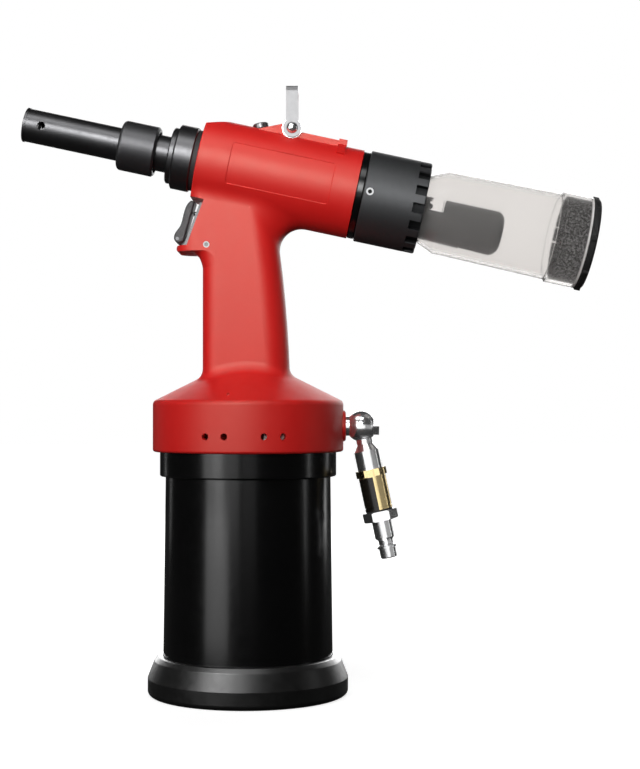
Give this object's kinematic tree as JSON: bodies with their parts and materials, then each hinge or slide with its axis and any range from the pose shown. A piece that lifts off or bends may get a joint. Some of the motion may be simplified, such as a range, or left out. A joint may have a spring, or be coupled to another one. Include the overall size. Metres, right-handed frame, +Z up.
{
  "type": "lockbolt installation tool",
  "caption": "Air driven hand tool that pulls lockbolts: tilted barrel with a long nose and clear pin bottle on a pistol grip above a round air cylinder, with a swivel air inlet.",
  "frame": {"origin": "centre of the flat sole of the base", "axes": "+Z up along the air cylinder, the nose towards -X and the bottle towards +X, Y across the tool"},
  "size_m": [0.3468, 0.1196, 0.3624],
  "materials": {
    "red_paint": "satin red paint on a casting",
    "black_gloss": "gloss black coat",
    "boot_rubber": "semi matte rubber",
    "black_steel": "satin black oxide",
    "dark_collar": "dark grey satin",
    "seal_black": "matte",
    "steel": "bright machined",
    "chrome": "polished",
    "plug_dark": "dark plated",
    "brass": "polished",
    "light_alloy": "machined",
    "guide_plastic": "bearing strip",
    "felt": "grey felt",
    "trigger_plastic": "dark grey moulding",
    "deflector_plastic": "dark moulding",
    "clear_plastic": "frosted clear moulding",
    "stopper_plastic": "speckled dark grey"
  },
  "bodies": {
    "tool": {"housing": "red_paint", "front_barrel": "black_steel", "front_collar": "black_steel", "front_gasket": "seal_black", "nose_nut": "black_steel", "nose_anvil": "black_steel", "front_gland": "light_alloy", "gland_seal": "seal_black", "head_cylinder": "steel", "rear_gland": "dark_collar", "rear_gland_seal": "seal_black", "return_spring": "steel", "bottle_collar": "dark_collar", "collar_screws": "chrome", "deflector": "deflector_plastic", "bottle_seal": "seal_black", "air_cylinder": "black_gloss", "base_plate": "light_alloy", "base_circlip": "steel", "base_boot": "boot_rubber", "ram_bush": "brass", "ram_seal": "seal_black", "ram_tube": "steel", "silencer_pads": "felt", "port_washer": "chrome", "banjo_bolt": "chrome", "valve_body": "brass", "valve_spring": "steel", "trigger_plate": "chrome", "trigger_gasket": "seal_black", "trigger_pin": "steel", "valve_lock_screw": "chrome", "oil_filler_screw": "plug_dark", "filler_seal": "seal_black", "bail_screws": "chrome", "bail_washers": "chrome"},
    "trigger": {"trigger": "trigger_plastic"},
    "valve": {"valve_stem": "steel"},
    "bail": {"bail": "chrome"},
    "air_drive": {"air_piston": "light_alloy", "piston_seal": "seal_black", "guide_ring": "guide_plastic", "ram": "steel", "ram_nut": "steel"},
    "pull_drive": {"pull_piston": "steel", "pull_piston_seal": "seal_black", "jaw_case": "steel", "jaws": "steel", "jaw_pusher": "steel", "jaw_spring": "steel"},
    "inlet": {"swivel_body": "chrome", "limiter_body": "brass", "nipple_seal": "seal_black", "hose_nipple": "chrome"},
    "bottle": {"bottle": "clear_plastic"},
    "stopper": {"stopper": "stopper_plastic"}
  },
  "joints": [
    {"name": "trigger_press", "type": "hinge", "parent": "tool", "child": "trigger", "pos_m": [-0.0421, 0, 0.2716], "axis": [0, 1, 0], "range_deg": [0, 5], "stiffness_Nm_per_rad": 0.01, "springref_deg": -11.46},
    {"name": "valve_open", "type": "slide", "parent": "tool", "child": "valve", "axis": [0.9358, 0, -0.3527], "range_m": [0, 0.0016], "deforming": ["valve_spring"]},
    {"name": "bail_swing", "type": "hinge", "parent": "tool", "child": "bail", "pos_m": [0.02638, 0, 0.33695], "axis": [0, 1, 0], "range_deg": [-58, 87]},
    {"name": "air_stroke", "type": "slide", "parent": "tool", "child": "air_drive", "axis": [0, 0, 1], "range_m": [0, 0.10667]},
    {"name": "pull_stroke", "type": "slide", "parent": "tool", "child": "pull_drive", "axis": [0.9781, 0, -0.2079], "range_m": [0, 0.02001], "deforming": ["return_spring"]},
    {"name": "inlet_swivel", "type": "hinge", "parent": "tool", "child": "inlet", "pos_m": [0.0678, 0, 0.1598], "axis": [1, 0, 0], "continuous": true},
    {"name": "bottle_twist", "type": "hinge", "parent": "tool", "child": "bottle", "pos_m": [0.09586, 0, 0.29202], "axis": [0.9781, 0, -0.2079], "range_deg": [0, 60]},
    {"name": "stopper_pull", "type": "slide", "parent": "bottle", "child": "stopper", "axis": [0.9781, 0, -0.2079], "range_m": [0, 0.025]}
  ],
  "couplings": [
    {"joint": "valve_open", "follows": "trigger_press", "m_per_rad": 0.018},
    {"joint": "pull_stroke", "follows": "air_stroke", "ratio": 0.1875}
  ]
}
